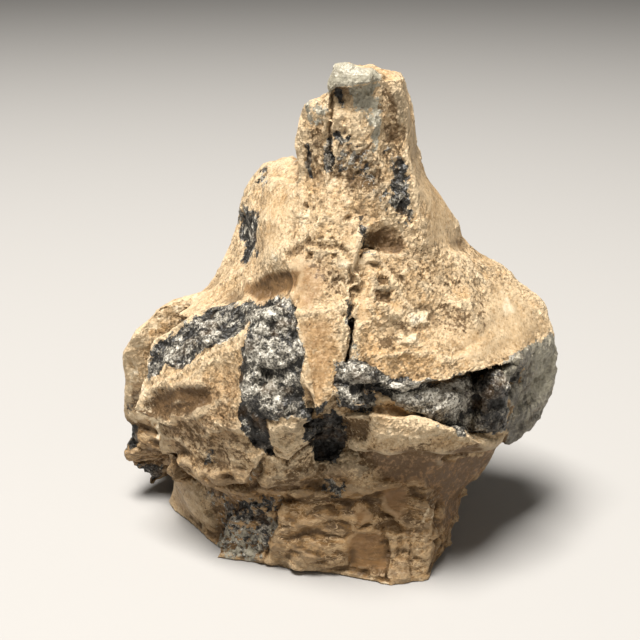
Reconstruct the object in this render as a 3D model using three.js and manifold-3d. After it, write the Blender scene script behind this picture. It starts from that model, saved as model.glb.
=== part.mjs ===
// A fossil bone still fused to its stone: one heavy broken block, about as tall as a hand is wide.
// Millimetres, +Z up. The origin is under the middle of the block, on the face it rests on.
// The broad side with the exposed bone faces -Y.

import * as THREE from "three";
import { ConvexGeometry } from "three/addons/geometries/ConvexGeometry.js";
import { ImprovedNoise } from "three/addons/math/ImprovedNoise.js";
import { TessellateModifier } from "three/addons/modifiers/TessellateModifier.js";
import { mergeVertices } from "three/addons/utils/BufferGeometryUtils.js";
import Module from "manifold-3d";

// Driving dimensions
const blockHeight = 104; // from the resting face to the top of the spire
const facetEdge = 6.4; // longest edge of a facet of the broken surface
const facetRounds = 12; // rounds of halving that bring every edge under that length
const weld = 1e-3; // vertices closer than this are one vertex
const restingFloor = 0; // height of the face that the block rests on
const dip = -3; // lowest corners start below that face, so that the trim leaves it flat
const floorDepth = 20; // how far the trimming block reaches below that face
const floorSpan = 200; // and to each side

// Weathering moves the surface about in two sizes of lump
const weathering = [
  { wavelength: 19, reach: 2.2, seed: 0 },
  { wavelength: 8, reach: 1.1, seed: 40 },
];
// Each direction reads the noise at a place of its own, so that the three don't move together
const noisePlaces = { x: [0, 0, 0], y: [7.3, 2.9, 5.1], z: [3.7, 8.1, 1.3] };

// Convex lumps of the block, each by its corners
const lumps = {
  spire: [
    [-2, -4, 99], [7, -6.5, 100], [12, -4, 101], [13, 8, 101], [1, 10, 101],
    [-3, -9, 80], [7, -10.5, 80], [16, -7, 80], [18.5, 3, 79], [19, 15, 74], [-5, 17, 74],
  ],
  spireFoot: [
    [-3, -9, 82], [7, -10.5, 83], [15, -8, 82], [18.5, 3, 80], [18, 14, 76], [-4, 16, 78],
    [-6, -13, 68], [4, -15, 74], [12, -13, 68], [17, -11, 69], [26, 5, 64], [25, 20, 60], [-8, 20, 66],
  ],
  spirePlate: [
    [-7.5, -3, 96], [-3, -5, 98], [-3, 6, 97], [-7.5, 6, 95],
    [-8, -5, 78], [-2, -9, 78], [-8, 9, 74], [-2, 9, 74],
  ],
  capSlab: [
    [-3, -6, 98.5], [-2.3, -5, 103], [0.7, -4, 103.6], [4.7, -6, 102.5],
    [7, -8, 100.5], [5.8, -8, 99], [-2.2, 6, 102], [6.5, 8, 101.7],
  ],
  shoulder: [
    [-8, 10, 83], [-16, 14, 79], [-20, 14, 73], [-22.5, 14, 61], [-29, 14, 50],
    [-8, -5, 79], [-18, -8, 59], [-10, -12, 64], [-24, 0, 55],
    [-6, 28, 78], [-18, 29, 68], [-26, 28, 48], [0, 20, 50],
  ],
  chest: [
    [-8, -6, 80], [2, -12, 81], [4.5, -14, 76], [3, -19, 69.5], [-8, -17, 67], [-16, -9, 65],
    [-15, 6, 79], [-20, 0, 62], [-18, -8, 60], [-10, -17, 61.5], [2, -20, 62], [0, 10, 60], [-10, 5, 50],
  ],
  heart: [
    [-26, -8, 45], [-14, -22, 38], [5, -25, 43], [20, -23, 40], [30, -14, 38], [-8, -16, 60], [5, -17, 64],
    [24, 5, 61], [-20, 18, 60], [20, 27, 54], [-28, 27, 44], [24, 28, 28], [-30, 25, 15], [-16, -17, 20],
    [20, -17, 20], [0, 34, 40],
  ],
  leftRear: [
    [-29, 12, 51], [-40, 8, 49], [-44.5, 4, 44], [-48, 6, 37], [-49.5, 8, 24], [-49, 10, 9], [-45, 12, 1.5],
    [-30, 34, 45], [-42, 29, 39], [-44, 31, 12], [-34, 33, 5], [-20, 20, 48], [-20, 28, 8], [-30, 0, 22],
  ],
  prow: [
    [-40, -4, 46], [-31, -2, 51.5], [-17, -9, 59], [-9, -17, 61], [-6, -26.5, 47.5], [-8, -28, 39.5],
    [-18, -21, 55], [-42.3, -8, 35.4], [-44.1, -8.5, 31.5], [-43.6, -9, 29.8], [-37.4, -12.5, 29.2],
    [-20, -25, 41], [-15, -25, 31], [-15, 5, 40], [-30, 8, 34],
  ],
  saddle: [
    [-38, 5, 47.5], [-33, -1, 49.5], [-30, -2.5, 51], [-18, -8.5, 58.5], [-30, 12, 50.5],
    [-24, 2, 56], [-19, 4, 58], [-26, 4, 38], [-17, 0, 45],
  ],
  lowerLump: [
    [-38, -10, 31], [-38.5, -8, 19.5], [-34, -12, 19], [-19.5, -24, 20.5], [-16.5, -25.5, 24.5],
    [-15, -25, 30], [-20, -26, 36], [-21, -24, 40], [-15, 0, 30], [-25, 5, 22],
  ],
  rib: [
    [-4, -12, 78], [2, -15, 75], [2.7, -19.5, 68.5], [1.3, -22.5, 61.5], [1.4, -28.5, 46.5],
    [-6.5, -31, 40], [-6, -28, 49], [-9, -18, 61], [-11, -15, 66], [0, 0, 70], [-3, -5, 42],
  ],
  wing: [
    [25.5, 8, 64.5], [35, 6, 60], [43.5, 2, 52], [46, 0, 45.5], [2.6, -26.5, 49], [11.3, -27, 46],
    [19, -26, 46.5], [30, -20, 46.5], [37, -12, 46.5], [3, -18, 67], [9, -13, 69.5], [17, -9, 68.5],
    [25, 22, 58], [38, 18, 50], [44, 15, 42], [10, -10, 40],
  ],
  wingEnd: [
    [46, 0, 45.5], [47.3, 0, 41], [47, 0, 32], [44.4, -2, 26], [40, -3, 22], [36.5, -6, 22],
    [37, -11.5, 45], [34, -12, 27], [28, -18, 33], [30, -18.5, 44], [44, 16, 40], [38, 14, 25], [20, 8, 30],
  ],
  stub: [
    [-0.8, -28, 49], [5.4, -27, 48.5], [6.3, -28.5, 42], [2, -29.5, 41.5], [-1.3, -28.5, 41.5], [2, -15, 45],
  ],
  shelf: [
    [1, -24, 30], [0, -25, 38.5], [8, -27, 31], [20, -26, 30], [33, -12.5, 24.5], [35, -9, 25.5],
    [6, -28, 41], [19, -28.5, 37], [28, -23.5, 32], [10, -5, 30], [25, 0, 26],
  ],
  flare: [
    [34, -9, 25], [36, -3, 23], [29, -4, 12], [4, -23, 30],
    [20, -21, 28], [23, -14, 13], [30, 14, 24], [5, 0, 15],
  ],
  belly: [
    [-14, -25, 36], [-6.5, -27, 37], [-8, -27, 34], [-11, -26, 30], [-14.5, -25, 31], [-16, -22.5, 24.5],
    [-8, -23.5, 28.5], [-4.5, -22.5, 24.5], [-7, -22, 20], [-15.5, -21.5, 19], [-8, -5, 25], [-10, -8, 36],
  ],
  base: [
    [-40, 6, dip], [-27, -12, dip], [-10.6, -20.5, dip], [7, -26.5, dip], [19, -25.5, dip], [22, -11, dip],
    [24.5, 0, dip], [24, 18, dip], [8, 31, dip], [-25, 29, dip], [-36, 18, dip],
    [-36, -3, 20], [-18, -19, 22], [0, -22, 28], [18, -20, 28], [28, -4, 13], [26, 18, 22], [-30, 24, 20],
  ],
  foot: [
    [7, -27.8, dip], [19, -26.8, dip], [21.5, -14, dip], [5, -10, dip],
    [7, -25, 9], [19, -24, 10], [22, -12, 9], [5, -10, 9],
  ],
  leftFoot: [
    [-27.5, -16.5, dip], [-22, -18.5, dip], [-14, -20.5, dip], [-18, -5, dip],
    [-25, -16, 8], [-22, -17, 13], [-14, -20, 15], [-16, -8, 18],
  ],
  rearFace: [
    [-43, 28, 36], [-44, 29, 14], [-37, 30, 4], [-18, 32, dip], [9, 31, dip], [22, 29, 5], [26, 27, 24],
    [38, 15, 27], [41, 16, 44], [23, 25, 58], [2, 29, 68], [-15, 29, 66], [-30, 33, 46],
    [-22, 37, 30], [-4, 39, 42], [3, 39, 20],
  ],
  rearSpur: [
    [6, 34, 12], [20, 33, 20], [17, 36, 38], [8, 40.5, 30],
    [-2, 38, 48], [4, 30, 56], [18, 24, 56], [0, 20, 30],
  ],
};

// Hollows broken out of the joined lumps, by their corners in the same way
const hollows = {
  underRib: [
    [-8, -36, 36], [-2, -36, 41], [5, -36, 40], [4, -36, 29], [-3, -36, 27], [-1, -20, 35], [-4, -20, 32],
  ],
  spireGroove: [
    [-3.2, -12, 93], [-1.8, -12, 93], [-2.6, -4, 96], [-3.4, -14, 79], [-1.2, -14, 79], [-2.4, -5, 80],
  ],
  spirePocket: [[8, -20, 71], [15, -20, 72], [12, -20, 67], [10, -11, 69.5], [14, -11, 70]],
};

const wasm = await Module();
wasm.setup();

// A closed geometry as a solid that can be joined and cut
function solidOf(geometry) {
  const bare = geometry.clone();
  bare.deleteAttribute("normal");
  bare.deleteAttribute("uv");
  const merged = mergeVertices(bare, weld);
  return new wasm.Manifold(
    new wasm.Mesh({
      numProp: 3,
      vertProperties: merged.attributes.position.array,
      triVerts: new Uint32Array(merged.index.array),
    }),
  );
}

function geometryOf(solid) {
  const mesh = solid.getMesh();
  const geometry = new THREE.BufferGeometry();
  geometry.setAttribute("position", new THREE.BufferAttribute(mesh.vertProperties, 3));
  geometry.setIndex(new THREE.BufferAttribute(mesh.triVerts, 1));
  return geometry;
}

function convexSolid(corners) {
  return solidOf(new ConvexGeometry(corners.map((corner) => new THREE.Vector3(...corner))));
}

// The lumps joined in one block, with the hollows broken out of it
function roughBlock() {
  const joined = Object.values(lumps)
    .map(convexSolid)
    .reduce((block, next) => block.add(next));
  return Object.values(hollows)
    .map(convexSolid)
    .reduce((block, hollow) => block.subtract(hollow), joined);
}

// Moves every vertex by smooth noise, so that flat breaks become uneven ones
function weather(geometry) {
  const noise = new ImprovedNoise();
  const position = geometry.attributes.position;
  const point = new THREE.Vector3();
  for (let i = 0; i < position.count; i++) {
    point.fromBufferAttribute(position, i);
    const shift = new THREE.Vector3();
    for (const { wavelength, reach, seed } of weathering) {
      const [x, y, z] = point.toArray().map((value) => value / wavelength + seed);
      for (const [axis, [dx, dy, dz]] of Object.entries(noisePlaces)) {
        shift[axis] += reach * noise.noise(x + dx, y + dy, z + dz);
      }
    }
    point.add(shift);
    position.setXYZ(i, point.x, point.y, point.z);
  }
  return geometry;
}

function restingTrim() {
  const block = new THREE.BoxGeometry(floorSpan, floorSpan, floorDepth);
  block.translate(0, 0, restingFloor - floorDepth / 2);
  return solidOf(block);
}

// The finished block, moved so that its middle stands over the origin, at its real height
function stone() {
  const facets = new TessellateModifier(facetEdge, facetRounds).modify(geometryOf(roughBlock()));
  const weathered = weather(mergeVertices(facets, weld));
  const geometry = geometryOf(solidOf(weathered).subtract(restingTrim()));
  geometry.computeBoundingBox();
  const { min, max } = geometry.boundingBox;
  const scale = blockHeight / (max.z - min.z);
  geometry.translate(-(min.x + max.x) / 2, -(min.y + max.y) / 2, -min.z);
  return geometry.scale(scale, scale, scale);
}

const bone = new THREE.Mesh(
  stone(),
  new THREE.MeshStandardMaterial({ color: 0xb08d5c, roughness: 0.9, metalness: 0 }),
);
bone.name = "fossil_bone";

const part = new THREE.Group();
part.add(bone);

export default part;
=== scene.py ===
import math
import bmesh
import bpy
import numpy as np
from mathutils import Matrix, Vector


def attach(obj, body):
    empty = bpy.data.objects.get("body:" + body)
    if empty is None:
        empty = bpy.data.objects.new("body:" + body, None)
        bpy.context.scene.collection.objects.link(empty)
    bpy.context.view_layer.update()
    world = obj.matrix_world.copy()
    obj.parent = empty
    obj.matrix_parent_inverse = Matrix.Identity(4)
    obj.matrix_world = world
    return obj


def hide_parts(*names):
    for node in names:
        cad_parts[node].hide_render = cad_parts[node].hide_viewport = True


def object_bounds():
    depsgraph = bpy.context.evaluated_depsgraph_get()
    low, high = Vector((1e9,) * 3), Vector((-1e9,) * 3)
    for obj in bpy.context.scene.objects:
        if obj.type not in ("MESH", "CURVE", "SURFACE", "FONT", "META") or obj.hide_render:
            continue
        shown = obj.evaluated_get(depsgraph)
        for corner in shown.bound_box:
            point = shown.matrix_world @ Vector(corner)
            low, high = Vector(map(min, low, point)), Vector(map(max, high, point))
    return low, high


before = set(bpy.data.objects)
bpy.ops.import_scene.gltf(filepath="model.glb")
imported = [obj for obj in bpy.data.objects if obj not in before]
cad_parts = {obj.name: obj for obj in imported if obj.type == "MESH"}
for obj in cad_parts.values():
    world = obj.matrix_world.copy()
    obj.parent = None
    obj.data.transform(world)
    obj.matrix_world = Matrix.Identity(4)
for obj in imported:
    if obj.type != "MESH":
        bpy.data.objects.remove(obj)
cadLow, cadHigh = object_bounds()
print("frame loaded:", sorted(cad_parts))

mm = 0.001  # relief and patterns are thought out in millimetres, Blender works in metres

# Camera of the photograph: pixels below are columns and rows of its 640 x 640 frame
view = {
    "aim": (-3.24, -4.97, 49.0),  # mm, the point in the middle of the frame
    "distance": 240.0,  # mm from that point
    "down": 21.0,  # degrees below the horizon
    "frame": 640,  # pixels along a side
    "focal": 1116.0,  # the lens, in those pixels
    "sensor": 36.0,  # mm
}
tilt = math.radians(view["down"])
forward = np.array((0.0, math.cos(tilt), -math.sin(tilt)))
upward = np.array((0.0, math.sin(tilt), math.cos(tilt)))
eye = np.array(view["aim"]) - view["distance"] * forward


# Random numbers that depend only on a lattice cell's whole-number place
def cellRandom(cells, seed):
    whole = cells.astype(np.int64)
    mixed = whole[:, 0] * 73856093 ^ whole[:, 1] * 19349663 ^ whole[:, 2] * 83492791 ^ seed * 40503
    found = []
    for turn in (2246822519, 3266489917, 668265263):
        mixed = mixed & 0xFFFFFFFF
        mixed = ((mixed ^ (mixed >> 15)) * (turn >> 1)) & 0xFFFFFFFF
        mixed = mixed ^ (mixed >> 13)
        found.append(mixed / 4294967296.0)
    return np.stack(found, 1)


# Gradient noise: a random slope at each corner of the cell, blended by a fifth-power fade
def swell(p, size, seed):
    q = p / size
    base = np.floor(q)
    inside = q - base
    fade = inside ** 3 * (inside * (inside * 6 - 15) + 10)
    total = np.zeros(len(q))
    for corner in np.ndindex(2, 2, 2):
        step = np.array(corner)
        slope = cellRandom(base + step, seed) * 2 - 1
        weight = np.prod(np.where(step, fade, 1 - fade), axis=1)
        total += weight * np.sum(slope * (inside - step), axis=1)
    return total * 1.5


# Swell summed over octaves, each half the size and half the height of the one before
def swells(p, size, seed, octaves=3):
    return sum(swell(p, size / 2 ** k, seed + 31 * k) / 2 ** k for k in range(octaves))


# Flakes as brittle stone breaks off: shallow bowls round random seeds, each leaning its own way, which
# meet in sharp ridges. The height is the lowest lean . offset + bowl * distance squared among the seeds
# nearby, in sizes. Gives the height and the distance to the nearest seed
def flakes(p, size, seed, bowl=0.9):
    q = p / size
    base = np.floor(q)
    lowest = np.full(len(q), 9.0)
    nearest = np.full(len(q), 9.0)
    for step in np.ndindex(3, 3, 3):
        cells = base + np.array(step) - 1
        offset = q - cells - cellRandom(cells, seed)
        lean = 1.4 * cellRandom(cells, seed + 977) - 0.7
        squared = np.sum(offset ** 2, axis=1)
        lowest = np.minimum(lowest, np.sum(lean * offset, axis=1) + bowl * squared)
        nearest = np.minimum(nearest, squared)
    return lowest - lowest.mean(), np.sqrt(nearest)


# Facets: each seed has a plane that leans and stands its own way. The height is the mean of
# lean . offset + lift over the seeds nearby, weighed by exp(-sharp * distance squared), so planes meet
# over a short way
def facets(p, size, seed, sharp=9.0):
    q = p / size
    base = np.floor(q)
    total = np.zeros(len(q))
    weights = np.zeros(len(q))
    for step in np.ndindex(3, 3, 3):
        cells = base + np.array(step) - 1
        offset = q - cells - cellRandom(cells, seed)
        lean = 1.8 * cellRandom(cells, seed + 977) - 0.9
        lift = cellRandom(cells, seed + 431)[:, 0] - 0.5
        weight = np.exp(-sharp * np.sum(offset ** 2, axis=1))
        total += weight * (np.sum(lean * offset, axis=1) + lift)
        weights += weight
    return total / weights


# 0 up to low, 1 from high, and t squared * (3 - 2 t) between them
def smoothstep(low, high, value):
    t = np.clip((value - low) / (high - low), 0, 1)
    return t * t * (3 - 2 * t)


# Distance of pixels to a straight stretch of line, in pixels
def besideStretch(column, row, start, end):
    (x0, y0), (x1, y1) = start, end
    length = max(math.hypot(x1 - x0, y1 - y0), 1e-9)
    across, down = (x1 - x0) / length, (y1 - y0) / length
    along = np.clip((column - x0) * across + (row - y0) * down, 0, length)
    return np.hypot(column - x0 - along * across, row - y0 - along * down)


# Signed distance of pixels to a closed outline, in pixels, positive inside
def insideOutline(column, row, outline):
    nearest = np.full(len(column), 1e9)
    odd = np.zeros(len(column), bool)
    for start, end in zip(outline, outline[1:] + outline[:1]):
        nearest = np.minimum(nearest, besideStretch(column, row, start, end))
        (x0, y0), (x1, y1) = start, end
        if y0 != y1:
            odd ^= ((y0 > row) != (y1 > row)) & (column < (x1 - x0) * (row - y0) / (y1 - y0) + x0)
    return np.where(odd, nearest, -nearest)


# Distance of pixels to an open line, in pixels
def besideLine(column, row, line):
    return np.min([besideStretch(column, row, start, end) for start, end in zip(line, line[1:])], axis=0)


# What a user would change on the block itself
stone = {
    "node": "fossil_bone",
    "cell": 0.72,  # mm, edge of a face of the fine surface halfway through the block
    "nearer": 0.012,  # per mm: faces shrink by this share towards the side with the bone
    "soften": 5,  # rounds that take the edge off the CAD facets
    "settle": 0.25,  # mm that the surface sinks, so that its lumps stay inside the CAD box
    "heave": (15.0, 0.7),  # mm size and height of the slow swelling
    "breaks": (12.0, 1.7),  # mm, of the large flakes
    "breaksLost": 0.6,  # how much lower those are on smooth breaks
    "pores": (1.9, 0.9),  # mm apart and deep, in spongy bone
    "poreGroups": (4.0, -0.15, 0.25),  # mm size, and the noise where a group begins and where it is full
    "poreRim": (0.18, 0.42),  # bottom and rim of a pore, as shares of that spacing from its middle
    "recess": 0.3,  # mm that bone lies under the crust
    "recessRim": (0.2, 0.9),  # cover of bone where that begins and where it is full
    "formRim": 0.4,  # how much of a form's soft rim lies outside its outline
    "scoreFloor": 0.3,  # how much of a scored line's half width is at full depth
    "flatFoot": (0.2, 1.6),  # mm above the floor where relief begins and where it is full
    "brownBelow": (19.0, 25.0),  # mm above the floor: brown stone up to the first, none over the second
    "brownWaves": (10.0, 5.0),  # mm size and height of the waves along that edge
    "tanLeft": 0.8,  # how much of the brown the tan places take away
    "underShade": (0.6, 0.9),  # painted shade on faces that look down: how far a face looks down where that shade is full, and how much it covers
    "flutedAbove": (72.0, 80.0),  # mm above the floor: upright flutes begin and are full
    "slideRounds": 4,  # rounds that even out the faces after the large breaks
    "smoothRounds": 5,  # rounds that smooth breaks are relaxed
    "smoothShare": 0.9,  # how far they go along with that
    "hollowRounds": (3, 40),  # rounds that the near and the far surroundings are averaged over
    "hollowGain": (2.2, 0.4),  # per mm, how much a point's depth under each of them counts
    "nudge": (0.11, 0.09),  # mm that grains are pushed at most, along the surface and out of it
    "nudgeGrid": 0.05,  # mm, grid that the grains' random numbers are drawn on
    "flatFaces": 0.35,  # graininess from which faces stay flat
    "wander": (5.5, 4.5),  # mm size and pixels by which the edges of patches wander
    "scoreWander": (3.0, 1.5),  # the same for scored lines
    "mottle": (1.4, 1.6),  # mm size and strength of the blotches in a patch that is partly covered
    "sightTile": 6,  # pixels along a tile of the depth test
    "sightDepth": (4.0, 9.0),  # mm behind the nearest point of its tile where a point goes out of sight
    "sightTurn": (-0.8, -0.4),  # cosine to the camera where a face is out of sight and in full sight
}

# Breaks in each kind of stone, large and small: mm size, mm height and how closely they are packed along
# X, Y and Z, where less than 1 draws them out
breaksOf = {
    "crust": [(6.0, 1.1, (0.7, 1, 1.2)), (2.4, 0.3, (0.8, 1, 1.1))],
    "fluted": [(4.2, 0.9, (1, 1, 0.3)), (1.8, 0.25, (1, 1, 0.4))],
    "bone": [(4.2, 1.3, (0.6, 1, 1)), (1.8, 0.5, (1, 1, 1))],
    "brown": [(6.5, 2.8, (0.6, 1, 1.2)), (2.6, 1.3, (0.6, 1, 1.2))],
    "smooth": [(9.0, 0.5, (1, 1, 1))],
}

# Kinds that break in flat facets, the others in shallow bowls
planar = ("bone", "brown")

# How grainy each kind of stone is, from 0 for a smooth break to 1
graininess = {"crust": 1.0, "fluted": 1.0, "bone": 1.0, "brown": 0.6, "smooth": 0.15}

# Patches of each kind, as outlines in the photograph's frame: how much of the patch is covered, 0 to 1, how
# soft its rim is in pixels, and the outline
bonePatches = {
    "prow": (1.0, 4, [
        (137, 382), (149, 356), (154, 345), (161, 336), (175, 330), (206, 311), (216, 304), (266, 297),
        (277, 294), (289, 300), (298, 322), (301, 340), (298, 380), (303, 400), (308, 421), (284, 417),
        (268, 420), (271, 457), (255, 453), (241, 431), (239, 397), (236, 381), (241, 349), (246, 335),
        (249, 322), (230, 337), (202, 351), (171, 368),
    ]),
    "band": (1.0, 5, [
        (340, 363), (361, 364), (377, 369), (390, 378), (407, 377), (430, 384), (447, 381), (460, 372),
        (475, 373), (489, 381), (493, 370), (503, 366), (508, 390), (505, 431), (480, 433), (461, 438),
        (447, 427), (430, 419), (407, 412), (386, 394), (368, 386), (344, 380),
    ]),
    "stub": (0.9, 5, [
        (336, 364), (348, 358), (366, 368), (374, 398), (372, 413), (352, 414), (338, 404),
    ]),
    "underRib": (1.0, 5, [
        (303, 412), (320, 402), (340, 412), (346, 440), (340, 462), (318, 460), (303, 440),
    ]),
    "notch": (1.0, 3, [(514, 366), (523, 362), (525, 374), (518, 390), (510, 397), (512, 380)]),
    "spireRight": (0.8, 9, [
        (393, 157), (404, 156), (413, 186), (416, 222), (408, 230), (398, 212), (390, 196),
    ]),
    "spireInner": (0.42, 9, [(376, 176), (396, 178), (400, 212), (384, 214)]),
    "spireHigh": (0.42, 8, [(382, 143), (402, 141), (404, 160), (390, 162), (382, 154)]),
    "spireSpots": (0.62, 5, [
        (334, 132), (344, 130), (350, 142), (360, 142), (360, 149), (346, 148), (336, 143),
    ]),
    "spireMottle": (0.36, 9, [
        (336, 147), (368, 146), (378, 172), (386, 208), (374, 204), (352, 184), (334, 178),
    ]),
    "grooveFace": (0.8, 4, [(327, 138), (336, 136), (334, 158), (330, 171), (323, 171)]),
    "panelCorner": (0.7, 7, [(332, 90), (345, 89), (345, 104), (340, 111), (334, 110)]),
    "plateEdge": (0.65, 3, [(303, 146), (309, 144), (312, 178), (306, 182)]),
    "shoulder": (0.85, 6, [(237, 214), (246, 204), (258, 212), (258, 236), (252, 260), (238, 262)]),
    "shoulderTop": (0.7, 5, [(256, 186), (262, 172), (270, 166), (268, 184), (260, 190)]),
    "slantBits": (0.6, 5, [(357, 214), (367, 214), (369, 246), (362, 250), (357, 232)]),
    "slantLow": (0.45, 6, [(364, 251), (375, 253), (374, 265), (365, 263)]),
    "besideRib": (0.8, 3, [(346, 297), (353, 296), (352, 328), (346, 328)]),
    "foot": (0.62, 10, [
        (222, 500), (250, 495), (280, 497), (276, 520), (266, 560), (232, 562), (213, 545), (214, 524),
    ]),
    "speck": (0.65, 7, [(318, 482), (347, 480), (349, 494), (330, 498)]),
    "dirtAndShade": (0.35, 9, [(194, 486), (230, 487), (226, 511), (206, 512)]),
    "lumpSpot": (0.5, 5, [(206, 452), (218, 450), (220, 464), (208, 466)]),
    "rearMark": (0.8, 4, [(121, 425), (136, 425), (137, 450), (126, 452)]),
    "rearTip": (0.9, 4, [(136, 463), (160, 466), (160, 492), (138, 490)]),
}

# Bone that is black all through
inkPatches = {
    "prowLow": (0.9, 8, [
        (241, 406), (262, 396), (272, 412), (268, 430), (272, 458), (255, 453), (241, 432),
    ]),
    "prowCorner": (0.7, 5, [(156, 332), (172, 328), (170, 341), (154, 344)]),
    "underRib": (1.0, 4, [
        (300, 408), (320, 400), (344, 410), (350, 440), (340, 466), (316, 462), (300, 440),
    ]),
    "bandMid": (0.35, 6, [(462, 376), (480, 376), (479, 398), (462, 396)]),
    "bandRight": (0.65, 6, [(473, 397), (486, 376), (502, 372), (506, 400), (503, 428), (484, 428)]),
    "notch": (1.0, 3, bonePatches["notch"][2]),
    "groove": (0.35, 5, [(326, 136), (337, 136), (330, 173), (322, 173)]),
    "foot": (0.3, 8, [(226, 497), (282, 495), (278, 516), (230, 518)]),
    "endLow": (0.7, 8, [(504, 424), (530, 420), (527, 447), (505, 451)]),
    "endSpot": (0.75, 4, [(514, 396), (522, 394), (520, 414), (514, 412)]),
    "rear": (0.8, 6, [(118, 420), (140, 420), (164, 466), (162, 496), (134, 492)]),
}

# Paler bone, grey to olive
greyPatches = {
    "endCap": (1.0, 4, [
        (550, 334), (560, 340), (560, 370), (549, 410), (529, 444), (502, 450), (510, 436), (503, 423),
        (513, 408), (507, 399), (524, 382), (525, 366), (521, 356), (530, 345),
    ]),
    "notchFacet": (0.9, 4, [
        (499, 366), (510, 356), (522, 352), (524, 368), (516, 384), (508, 396), (500, 384),
    ]),
    "cap": (1.0, 3, [
        (324, 92), (326, 76), (330, 64), (344, 60), (354, 63), (360, 68), (372, 68), (384, 76), (382, 80),
        (364, 85), (345, 87), (331, 91),
    ]),
    "panel": (0.75, 9, [
        (346, 88), (380, 84), (384, 108), (382, 148), (374, 158), (366, 118), (350, 108),
    ]),
    "plateTop": (0.55, 6, [(303, 104), (318, 99), (330, 108), (326, 122), (306, 125)]),
    "footPale": (0.5, 7, [(213, 524), (240, 526), (266, 534), (262, 562), (232, 564), (214, 550)]),
    "footRim": (0.6, 5, [(262, 518), (281, 514), (276, 536), (264, 538)]),
    "ribCrack": (0.7, 4, [(347, 330), (354, 332), (362, 364), (350, 366)]),
}

# Pale smooth streaks in the bone
palePatches = {
    "bandLeft": (0.8, 4, [(147, 358), (168, 353), (174, 360), (158, 367)]),
    "bandMid": (0.7, 5, [(161, 344), (182, 340), (184, 348), (164, 353)]),
    "bandRight": (0.7, 6, [(199, 328), (218, 318), (226, 322), (208, 336)]),
    "prowCorner": (0.7, 5, [(274, 296), (287, 296), (291, 310), (280, 312)]),
    "diagonal": (0.9, 4, [(268, 372), (292, 350), (301, 350), (298, 358), (280, 372)]),
    "face": (0.55, 12, [
        (246, 340), (262, 304), (290, 304), (300, 340), (296, 384), (262, 396), (242, 390),
    ]),
    "facePale": (0.6, 8, [(252, 376), (272, 374), (276, 392), (256, 394)]),
    "low": (0.8, 4, [(270, 394), (282, 390), (284, 402), (272, 406)]),
    "crystalsLeft": (0.75, 5, [(404, 404), (420, 406), (419, 418), (406, 414)]),
    "crystals": (0.95, 6, [(428, 394), (466, 394), (476, 410), (478, 434), (463, 422), (430, 408)]),
    "crystalsHigh": (0.72, 5, [(380, 378), (402, 378), (406, 394), (386, 394)]),
    "bandCrystals": (0.8, 8, [(384, 380), (440, 384), (462, 378), (462, 396), (430, 410), (396, 400)]),
    "cap": (0.6, 4, greyPatches["cap"][2]),
    "panel": (0.8, 6, [(346, 88), (380, 84), (384, 108), (368, 112), (350, 108)]),
    "plateTop": (0.5, 6, [(304, 104), (318, 100), (328, 110), (322, 122), (306, 122)]),
    "notchRim": (0.9, 3, [(496, 367), (507, 366), (508, 384), (504, 392), (499, 384)]),
    "capRim": (0.9, 4, [(358, 68), (372, 67), (385, 76), (383, 80), (364, 77)]),
    "streak": (0.7, 6, [(362, 90), (378, 88), (382, 108), (381, 150), (374, 148), (368, 116)]),
    "stub": (0.6, 6, [(342, 370), (362, 372), (375, 400), (374, 414), (346, 410)]),
    "endCap": (0.5, 8, [(536, 346), (556, 338), (557, 372), (547, 402), (536, 398)]),
    "footWhite": (0.5, 5, [(214, 530), (240, 530), (250, 560), (228, 560)]),
}

# Smooth breaks that carry little grain
smoothPatches = {
    "scoop": (0.7, 3, [
        (242, 291), (246, 283), (264, 274), (290, 269), (300, 272), (294, 290), (274, 295), (254, 299),
    ]),
    "fan": (0.9, 8, [(286, 262), (300, 256), (324, 262), (320, 290), (308, 310), (290, 300)]),
    "ribHollow": (0.65, 8, [
        (300, 322), (318, 314), (330, 322), (334, 350), (328, 388), (309, 417), (303, 372),
    ]),
    "spireFlank": (0.9, 8, [
        (404, 84), (418, 106), (446, 180), (464, 250), (430, 244), (420, 190), (408, 120),
    ]),
    "slant": (0.4, 8, [(342, 216), (357, 220), (366, 268), (350, 270)]),
    "leftRear": (0.4, 9, [
        (122, 352), (150, 304), (196, 290), (212, 298), (160, 330), (146, 366), (150, 460), (126, 440),
    ]),
    "olive": (1.0, 4, [(356, 296), (368, 296), (369, 318), (358, 324)]),
    "oliveRight": (1.0, 4, [(391, 303), (402, 304), (401, 313), (393, 311)]),
    "pocket": (0.3, 3, [(373, 240), (384, 226), (398, 230), (408, 248), (396, 254), (376, 252)]),
    "undercut": (1.0, 6, [
        (362, 450), (430, 456), (504, 444), (474, 484), (446, 540), (440, 490), (380, 478),
    ]),
    "orange": (0.9, 5, [
        (350, 540), (358, 533), (383, 535), (387, 556), (384, 574), (370, 570), (346, 568),
    ]),
    "footBlock": (0.45, 6, [(386, 536), (400, 530), (434, 532), (432, 588), (402, 590), (388, 580)]),
    "lowLeft": (0.9, 6, [(159, 472), (186, 476), (197, 500), (196, 522), (174, 516)]),
    "amberLeft": (1.0, 4, [(352, 512), (362, 508), (370, 516), (360, 526)]),
    "amberRight": (1.0, 4, [(383, 490), (404, 486), (410, 500), (400, 520), (384, 512)]),
    "prowHollow": (0.4, 8, [
        (139, 404), (150, 393), (176, 385), (206, 388), (212, 404), (190, 416), (160, 422),
    ]),
    "shoulderFace": (0.6, 9, [(266, 190), (296, 190), (290, 215), (276, 262), (258, 262)]),
    "cap": (0.55, 4, [(326, 66), (362, 62), (384, 78), (345, 88), (326, 90)]),
    "wingEnd": (0.85, 18, [(452, 336), (500, 282), (530, 296), (552, 330), (520, 356), (470, 366)]),
}

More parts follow.
